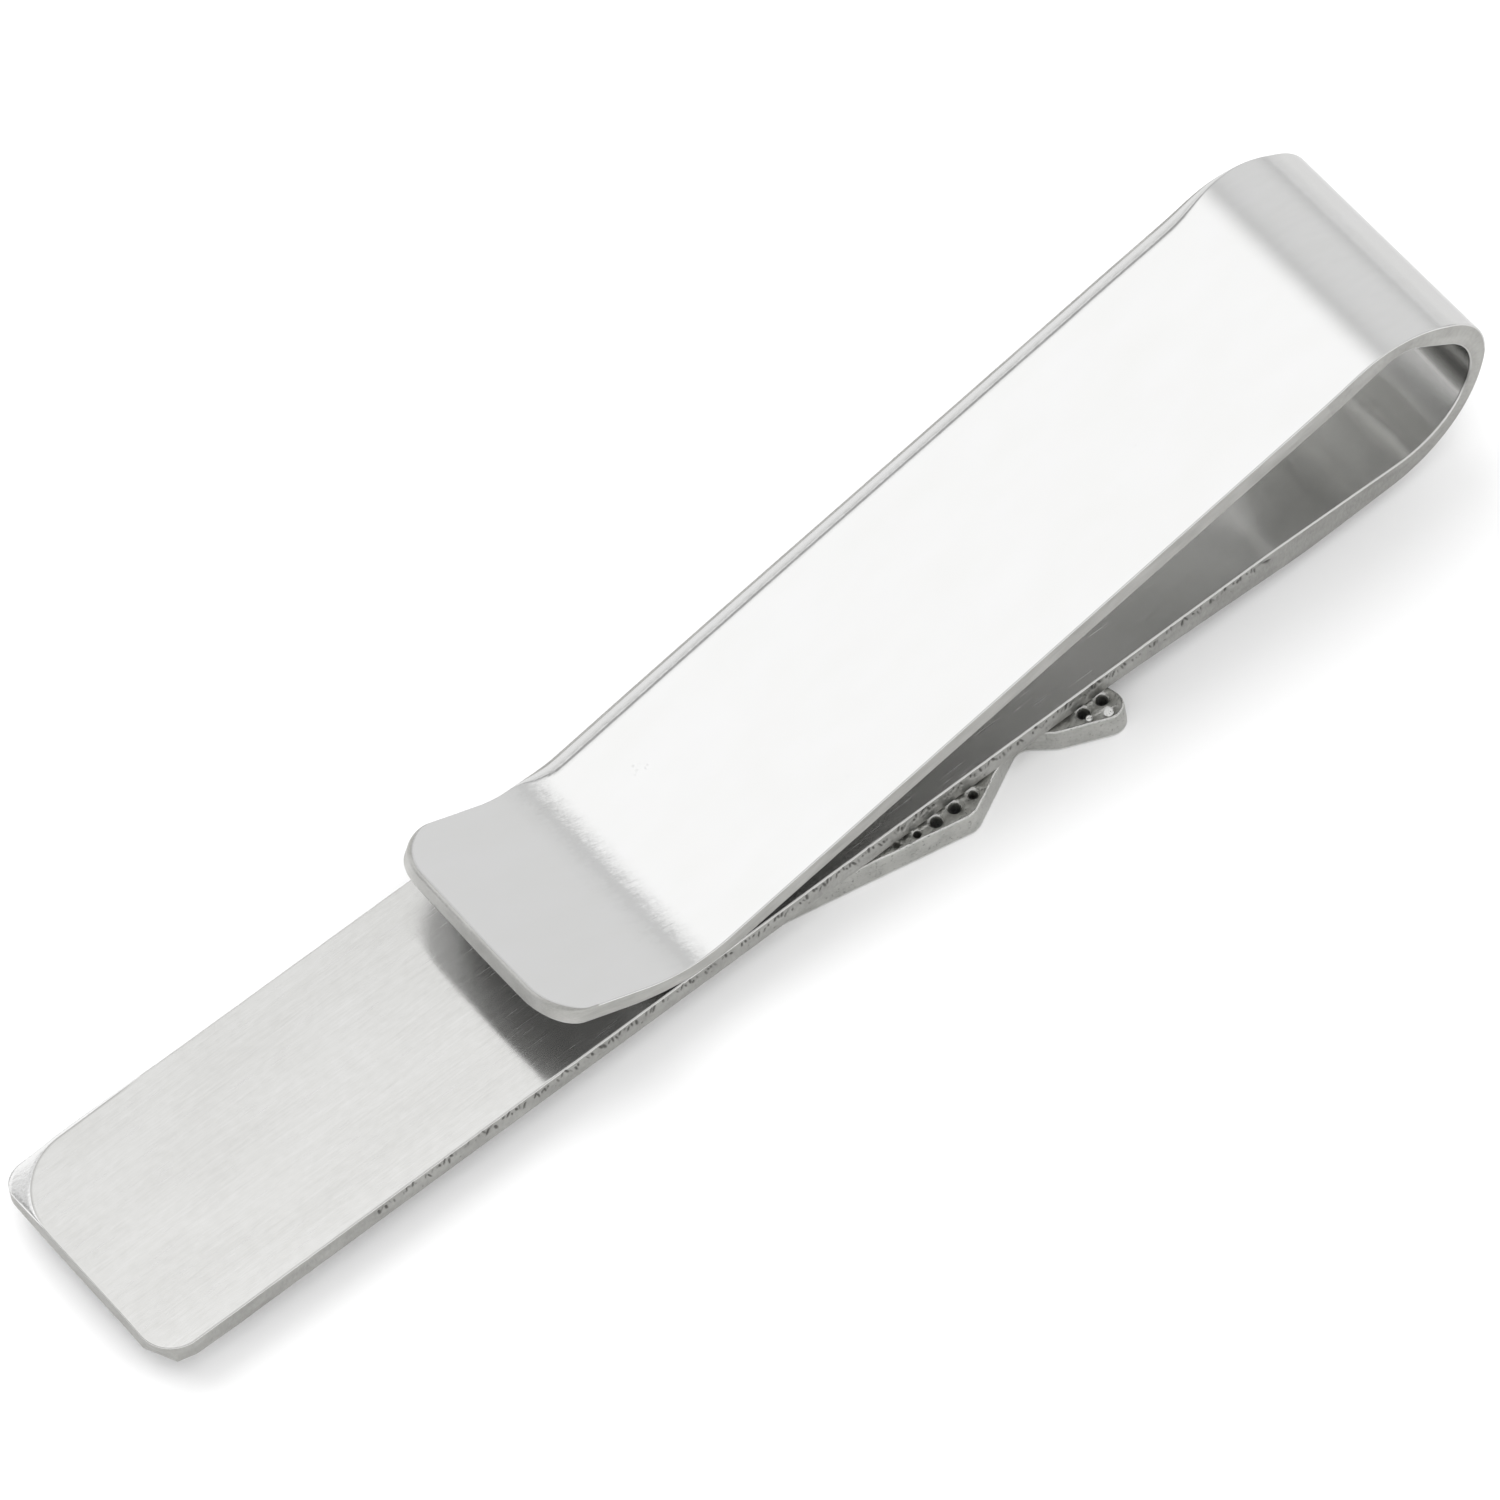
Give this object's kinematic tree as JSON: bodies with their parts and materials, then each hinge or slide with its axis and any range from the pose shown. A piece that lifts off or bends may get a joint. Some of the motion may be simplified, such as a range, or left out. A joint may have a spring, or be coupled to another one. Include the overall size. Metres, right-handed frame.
{
  "type": "tie clip",
  "caption": "Spring-bend tie clip: flat bar, teardrop bend and sprung tongue with a flared lip, and a crystal-set dart ornament on the bar's front.",
  "frame": {"origin": "middle of the bounding box in X and Y, on the plane of the ornament's front rim, on which the clip lies, in Z", "axes": "+X runs along the bar from its free end to the bend, +Z points from the bar's front to the tongue, +Y completes a right-handed frame across the strip"},
  "size_m": [0.057, 0.0114, 0.0088],
  "materials": {
    "brushed_strip": "white-metal plating, brushed lengthwise",
    "polished_strip": "white-metal plating, mirror polished",
    "solder": "dull solder",
    "cast_plate": "plated casting, tumbled satin",
    "crystal": "clear faceted crystal"
  },
  "bodies": {
    "clip_bar": {"bar": "brushed_strip", "solder_film": "solder", "ornament_plate": "cast_plate", "crystals_near_1": "crystal", "crystals_near_2": "crystal", "crystals_near_3": "crystal", "crystals_near_4": "crystal", "crystals_near_5": "crystal", "crystals_far_1": "crystal", "crystals_far_2": "crystal", "crystals_far_3": "crystal", "crystals_far_4": "crystal", "crystals_far_5": "crystal", "small_crystals_near": "crystal", "small_crystals_far": "crystal"},
    "clip_tongue": {"tongue": "polished_strip"}
  },
  "joints": [
    {"name": "tongue_flex", "type": "hinge", "parent": "clip_bar", "child": "clip_tongue", "pos_m": [0.0285, 0, 0.005], "axis": [0, 1, 0], "range_deg": [0, 8], "stiffness_Nm_per_rad": 2.7}
  ]
}
